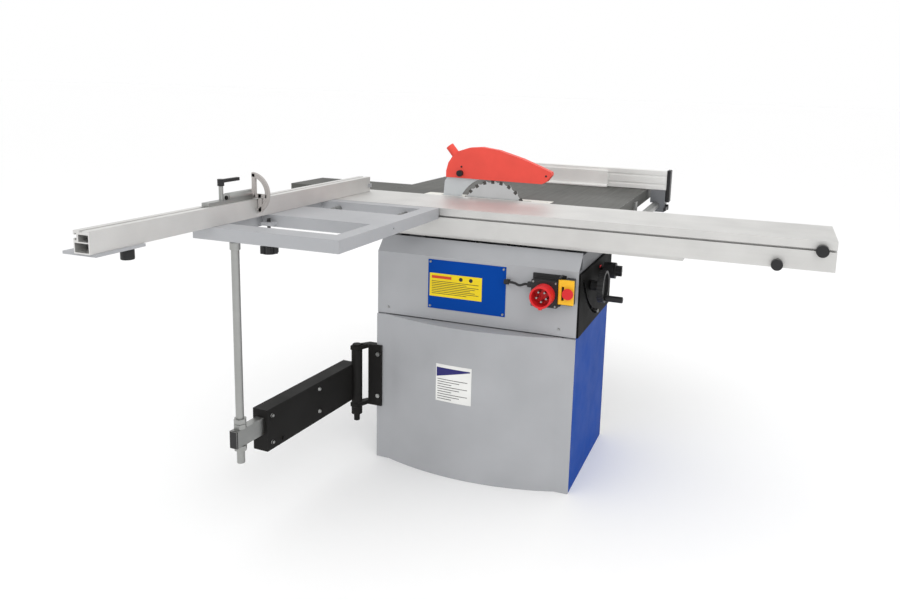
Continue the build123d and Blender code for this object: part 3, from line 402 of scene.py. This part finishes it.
def mergedCopy(node):
    bm = bmesh.new()
    bm.from_mesh(frame["nodes"][node].data)
    bmesh.ops.remove_doubles(bm, verts=bm.verts, dist=meshRules["weld"])
    bmesh.ops.dissolve_limit(bm, angle_limit=math.radians(meshRules["flat"]), verts=bm.verts, edges=bm.edges)
    return bm


softRules = {"angle": 32, "shares": (1.0, 0.6, 0.35),   # widths tried in turn, until one is sound
             "volume": 0.04, "growth": 0.0006}          # most change allowed: share of volume, metres of box
softWidths = {   # edge rounding in metres, by node
    "outrigger_frame": 0.004, "bow_front_cover": 0.002, "upper_side_cover": 0.002, "control_panel": 0.003,
    "operator_side_panel": 0.0015, "name_plate": 0.0012, "main_table": 0.0012,
    "side_extension_table": 0.0012, "outfeed_extension_table": 0.0012, "table_insert": 0.0008,
    "sliding_table": 0.0008, "crosscut_fence": 0.001, "fence_foot": 0.0015, "fence_foot_knob": 0.002,
    "ratchet_lever": 0.002, "stop_clamp": 0.001, "slot_knob": 0.002, "lock_knob": 0.002,
    "clamp_knob": 0.002, "guard_shell": 0.0012, "guard_knob": 0.001, "riving_knife": 0.0006,
    "rip_carriage": 0.002, "rip_profile": 0.001, "rip_face_profile": 0.001, "rip_end_plate": 0.002,
    "rip_clamp_lever": 0.002, "handwheel": 0.0018, "crank_handle": 0.002, "tilt_knob": 0.002,
    "arm_tube": 0.003, "arm_bracket": 0.002, "inner_tube": 0.0015, "support_post": 0.001,
    "switch_box": 0.002, "switch_base": 0.0018, "stop_flap": 0.002, "stop_button": 0.002,
    "mains_inlet": 0.0015, "outrigger_clamps": 0.001, "motor": 0.003, "rear_cover": 0.0012,
}


def softened(node, width):   # stands for a CAD node, with its edges rounded
    for share in softRules["shares"]:
        bm = mergedCopy(node)
        volumeBefore = abs(bm.calc_volume())
        lowBefore, highBefore = boxOf([v.co for v in bm.verts])
        band = bm.faces.layers.float.new("edgeBand")
        for face in roundOff(bm, width * share, softRules["angle"])["faces"]:
            face[band] = 1.0
        low, high = boxOf([v.co for v in bm.verts])
        moved = max((low - lowBefore).length, (high - highBefore).length)
        changed = abs(abs(bm.calc_volume()) - volumeBefore)
        if changed < softRules["volume"] * volumeBefore and moved < softRules["growth"]:
            first, *rest = node.split("_")
            name = first + "".join(word.capitalize() for word in rest) + "Shell"
            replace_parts(toPiece(name, bm, bodyOf[node], finishOf(node)), node)
            return
        bm.free()
    print("left as it is:", node)


makeCamera(camera)
makeLights()
dressCad()
for nodeName, roundness in softWidths.items():
    softened(nodeName, roundness)
print("rounded copies made")


def turned(degrees, axis):
    return Matrix.Rotation(math.radians(degrees), 3, axis)


def spinVerts(bm, verts, matrix):
    bmesh.ops.rotate(bm, verts=verts, cent=(0, 0, 0), matrix=matrix)


def block(bm, size, centre=(0, 0, 0)):
    verts = bmesh.ops.create_cube(bm, size=1)["verts"]
    bmesh.ops.scale(bm, verts=verts, vec=size)
    bmesh.ops.translate(bm, verts=verts, vec=centre)
    return verts


def slab(bm, x0, x1, z0, z1, y, thick):   # thin plate that faces -Y
    block(bm, (x1 - x0, thick, z1 - z0), ((x0 + x1) / 2, y - thick / 2, (z0 + z1) / 2))


def disc(bm, x, z, y, radius, thick, sides=32):   # round plate that faces -Y
    verts = bmesh.ops.create_cone(bm, cap_ends=True, segments=sides, radius1=radius, radius2=radius,
                                  depth=thick)["verts"]
    spinVerts(bm, verts, turned(90, "X"))
    bmesh.ops.translate(bm, verts=verts, vec=(x, y - thick / 2, z))


# On both labels the left, right, low and high values are shares of the label, from its left and top edges.
caution = {
    "x": (-0.150, 0.029), "z": (0.590, 0.666), "y": -0.3139, "film": 0.0003, "ink": 0.00015,
    "heading": (0.04, 0.42, 0.22, 0.10),
    "signs": (0.60, 0.79), "signLine": 0.17, "signRadius": 0.085,
    "left": 0.04, "firstRow": 0.34, "pitch": 0.075, "halfRow": 0.012,
    "rows": (0.90, 0.67, 0.90, 0.83, 0.74, 0.83, 0.90, 0.67),
}
rating = {
    "x": (-0.101, 0.023), "z": (0.260, 0.384), "film": 0.0003, "ink": 0.00015,
    "band": (0.02, 0.96, 0.34, 0.09), "wedgeBelow": 0.2, "wedgeTo": 0.12,
    "left": 0.05, "firstRow": 0.40, "pitch": 0.066, "halfRow": 0.008,
    "rows": (0.84, 0.62, 0.40, 0.84, 0.62, 0.40, 0.84, 0.62, 0.40),
    "chord": 0.583, "bulge": 0.050, "cuts": 3,   # the bowed cover behind it
}


def labelArea(c, left, right, low, high):
    (x0, x1), (z0, z1) = c["x"], c["z"]
    wide, tall = x1 - x0, z1 - z0
    return x0 + left * wide, x0 + right * wide, z1 - low * tall, z1 - high * tall


def inkRows(bm, c, front):   # lines of print, as thin plates
    for i, length in enumerate(c["rows"]):
        line = c["firstRow"] + c["pitch"] * i
        area = labelArea(c, c["left"], c["left"] + length, line + c["halfRow"], line - c["halfRow"])
        slab(bm, *area, front, c["ink"])


def cautionLabel(c):
    x0, x1 = c["x"]
    z0, z1 = c["z"]
    front = c["y"] - c["film"]
    film, head, ink = bmesh.new(), bmesh.new(), bmesh.new()
    slab(film, x0, x1, z0, z1, c["y"], c["film"])
    slab(head, *labelArea(c, *c["heading"]), front, c["ink"])
    for share in c["signs"]:
        disc(ink, x0 + share * (x1 - x0), z1 - c["signLine"] * (z1 - z0), front,
             c["signRadius"] * (z1 - z0), c["ink"])
    inkRows(ink, c, front)
    toPiece("cautionFilm", film, "frame", "label_film")
    toPiece("cautionHeading", head, "frame", "labelRed")
    return toPiece("cautionInk", ink, "frame", "labelInk")


def ratingLabel(c):
    x0, x1 = c["x"]
    z0, z1 = c["z"]
    radius = c["chord"] ** 2 / (8 * c["bulge"]) + c["bulge"] / 2
    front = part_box("labels")[0].y
    film, ink, band = bmesh.new(), bmesh.new(), bmesh.new()
    slab(film, x0, x1, z0, z1, front + c["film"], c["film"])
    slab(band, *labelArea(c, *c["band"]), front, c["ink"])
    for vert in band.verts:   # the band narrows to a wedge at its right end
        if vert.co.x > (x0 + x1) / 2 and vert.co.z < z1 - c["wedgeBelow"] * (z1 - z0):
            vert.co.z = z1 - c["wedgeTo"] * (z1 - z0)
    inkRows(ink, c, front)
    for bm in (film, ink, band):   # the cover bulges towards -Y, so each flat plate is bent to it
        bmesh.ops.subdivide_edges(bm, edges=bm.edges, cuts=c["cuts"], use_grid_fill=True)
        for vert in bm.verts:
            vert.co.y += vert.co.x ** 2 / (2 * radius)
    toPiece("ratingBand", band, "frame", "labelNavy")
    toPiece("ratingFilm", film, "frame", "labelWhite")
    toPiece("ratingInk", ink, "frame", "labelInk")


pins = {"count": 5, "start": 126, "x": 0.242, "z": 0.647, "ring": 0.016, "radius": 0.0034,
        "near": -0.381, "far": -0.353, "sides": 20, "rounding": 0.0012}


def inletPins(c):
    bm = bmesh.new()
    for i in range(c["count"]):
        a = math.radians(c["start"] + 360 / c["count"] * i)
        disc(bm, c["x"] + c["ring"] * math.cos(a), c["z"] + c["ring"] * math.sin(a), c["far"], c["radius"],
             c["far"] - c["near"], c["sides"])
    roundOff(bm, c["rounding"], segments=3)
    toPiece("inletPinSleeves", bm, "frame", "zinc_steel")


pointer = {"x": (0.3436, 0.3454), "y": (-0.044, -0.014), "z": (0.678, 0.686), "tip": 0.15,
           "rounding": 0.0004}   # tip is its height as a share of the pointer's


def tiltPointer(c):
    bm = bmesh.new()
    spans = [c[axis] for axis in ("x", "y", "z")]
    middle = [(a + b) / 2 for a, b in spans]
    block(bm, [b - a for a, b in spans], middle)
    tip = [v for v in bm.verts if v.co.y > middle[1]]
    bmesh.ops.scale(bm, verts=tip, vec=(1, 1, c["tip"]), space=Matrix.Translation((0, 0, -middle[2])))
    roundOff(bm, c["rounding"])
    toPiece("tiltPointer", bm, "frame", "red_plastic")


tips = {"count": 24, "start": 2.0, "x": -0.059, "y": 0.020, "z": 0.811, "radius": 0.125,
        "size": (0.012, 0.0040, 0.012), "inset": 0.0006, "rounding": 0.0003}


def carbideTips(c):
    bm = bmesh.new()
    for i in range(c["count"]):
        verts = block(bm, c["size"], (0, 0, c["radius"] - c["size"][2] / 2 - c["inset"]))
        spinVerts(bm, verts, turned(90 - 360 / c["count"] * i - c["start"], "Y"))
        bmesh.ops.translate(bm, verts=verts, vec=(c["x"], c["y"], c["z"]))
    roundOff(bm, c["rounding"])
    toPiece("carbideTips", bm, "blade", "toothSteel")


def jointPlace(name):
    return next(joint["pos_m"] for joint in frame["joints"] if joint["name"] == name)


flip = {
    "radius": 0.061, "rim": 0.013, "thick": 0.009, "bar": 0.012, "spoke": 0.011, "base": 0.004,
    "lip": 0.003, "reach": 0.052, "clear": 0.0245,   # clear: from the pivot to past the fence's face
    "hub": 0.013, "hubThick": 0.0155, "hubSides": 28, "axle": 0.006, "axleGap": 0.001, "axleSides": 20,
    "sweep": 150, "start": 64, "steps": 48,   # sweep and start in degrees
    "weld": 1e-6, "rounding": 0.0012,
}


def castFlipStop(c):   # half-moon plate with a wide rim, one spoke and a hub on its axle
    low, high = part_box("flip_stop")
    pivotX, _, pivotZ = jointPlace("stop_flip")
    bm = bmesh.new()
    profile = [bm.verts.new((c["radius"] - inset, -depth, 0)) for inset, depth in
               ((0, 0), (0, c["thick"]), (c["rim"], c["thick"]), (c["rim"], 0))]
    face = bm.faces.new(profile)
    bmesh.ops.spin(bm, geom=[face, *face.edges, *face.verts], cent=(0, 0, 0), axis=(0, 1, 0),
                   angle=math.radians(-c["sweep"]), steps=c["steps"], use_duplicate=False)
    spinVerts(bm, bm.verts, turned(c["start"], "Y"))
    base, bar = c["base"], c["bar"]
    bars = ((base, base + bar, -c["spoke"], c["radius"] - c["lip"]),      # above the fence
            (c["clear"], c["clear"] + bar, -c["reach"], 0.0),             # in front of its face
            (base, c["radius"] - c["rim"] / 2, -c["spoke"], 0.0))         # spoke
    for x0, x1, z0, z1 in bars:
        slab(bm, x0, x1, z0, z1, 0, c["thick"])
    disc(bm, 0, 0, 0, c["hub"], c["hubThick"], c["hubSides"])
    disc(bm, 0, 0, -c["axleGap"], c["axle"], high.y - low.y - c["axleGap"], c["axleSides"])
    bmesh.ops.remove_doubles(bm, verts=bm.verts, dist=c["weld"])
    bmesh.ops.recalc_face_normals(bm, faces=bm.faces)
    roundOff(bm, c["rounding"])
    bmesh.ops.translate(bm, verts=bm.verts, vec=(pivotX, high.y, pivotZ))
    return toPiece("castFlipStop", bm, "flip", "castWarmGrey")


armBolts = {"radius": 0.0068, "top": 0.6, "high": 0.0062, "sides": 24, "rounding": 0.0008,
            "turn": -3.58, "face": -0.009,   # the arm's turn in degrees, and its face from the hinge
            "spots": ((-0.427, 0.313), (-0.427, 0.232), (-0.200, 0.313), (-0.200, 0.240))}


def armBoltHeads(c):   # bright round heads on the outer face of the swing arm
    hingeX, hingeY, _ = jointPlace("arm_swing")
    bm = bmesh.new()
    for along, z in c["spots"]:
        verts = bmesh.ops.create_cone(bm, cap_ends=True, segments=c["sides"], radius1=c["radius"],
                                      radius2=c["radius"] * c["top"], depth=c["high"])["verts"]
        spinVerts(bm, verts, turned(90, "Y"))
        bmesh.ops.translate(bm, verts=verts, vec=(c["face"] + c["high"] / 2, along, z))
    roundOff(bm, c["rounding"])
    spinVerts(bm, bm.verts, turned(c["turn"], "Z"))
    bmesh.ops.translate(bm, verts=bm.verts, vec=(hingeX, hingeY, 0))
    toPiece("armBoltHeads", bm, "arm", "zinc_steel")


tubeCap = {"size": (0.0252, 0.006, 0.0502), "turn": -3.58, "x": -0.4626, "inside": 0.0036, "z": 0.2865,
           "rounding": 0.0015}


def endCap(c):   # black plug in the open end of the inner tube
    low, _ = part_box("inner_tube")
    bm = bmesh.new()
    block(bm, c["size"])
    roundOff(bm, c["rounding"], segments=3)
    spinVerts(bm, bm.verts, turned(c["turn"], "Z"))
    bmesh.ops.translate(bm, verts=bm.verts, vec=(c["x"], low.y + c["inside"], c["z"]))
    toPiece("tubeEndCap", bm, "arm_inner", "black_plastic")


heads = {"sides": 24, "top": 0.72, "rim": 0.30, "recess": 0.35}   # shares of a head's radius and height


def looseBoxes(node):   # the box of each separate solid in a node
    bm = bmesh.new()
    bm.from_mesh(frame["nodes"][node].data)
    bmesh.ops.remove_doubles(bm, verts=bm.verts, dist=meshRules["weld"])
    left = set(bm.verts)
    boxes = []
    while left:
        stack, island = [left.pop()], []
        while stack:
            vert = stack.pop()
            island.append(vert.co.copy())
            for edge in vert.link_edges:
                other = edge.other_vert(vert)
                if other in left:
                    left.discard(other)
                    stack.append(other)
        boxes.append(boxOf(island))
    bm.free()
    return boxes


def outwardTurn(low, high):   # turns a head on +Z to point out of the panel that its box lies on
    size = high - low
    axis = min(range(3), key=lambda i: size[i])
    if axis == 0:
        return axis, turned(-90 if low.x < 0 else 90, "Y")
    if axis == 1:
        return axis, turned(-90 if low.y > 0 else 90, "X")
    return axis, Matrix.Identity(3)


def screwHeads(c):   # domed heads with a recess, where the CAD model has plain ones
    joined = bmesh.new()
    for low, high in looseBoxes("cover_screws"):
        axis, outward = outwardTurn(low, high)
        size = high - low
        wide, thick = max(size) / 2, size[axis]
        head = bmesh.new()
        bmesh.ops.create_cone(head, cap_ends=True, segments=c["sides"], radius1=wide,
                              radius2=wide * c["top"], depth=thick)
        cap = max(head.faces, key=lambda f: f.calc_center_median().z)
        bmesh.ops.inset_individual(head, faces=[cap], thickness=wide * c["rim"], depth=-thick * c["recess"])
        spinVerts(head, head.verts, outward)
        bmesh.ops.translate(head, verts=head.verts, vec=(low + high) / 2)
        mesh = bpy.data.meshes.new("head")
        head.to_mesh(mesh)
        head.free()
        joined.from_mesh(mesh)
        bpy.data.meshes.remove(mesh)
    return toPiece("coverScrewHeads", joined, "frame", "zinc_steel")


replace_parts(cautionLabel(caution), "labels")
ratingLabel(rating)
inletPins(pins)
tiltPointer(pointer)
carbideTips(tips)
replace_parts(castFlipStop(flip), "flip_stop")
armBoltHeads(armBolts)
endCap(tubeCap)
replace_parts(screwHeads(heads), "cover_screws")
print("small pieces made")


def makeFloor(c):
    bm = bmesh.new()
    bmesh.ops.create_grid(bm, x_segments=2, y_segments=2, size=c["floorSize"])
    mesh = bpy.data.meshes.new("paleFloor")
    bm.to_mesh(mesh)
    bm.free()
    floor = bpy.data.objects.new("paleFloor", mesh)
    bpy.context.scene.collection.objects.link(floor)
    made, tree, shader = startMaterial("paleFloor")
    feed(tree, shader.inputs["Base Color"], c["floor"])
    feed(tree, shader.inputs["Roughness"], c["floorRough"])
    mesh.materials.append(made)


makeFloor(surround)
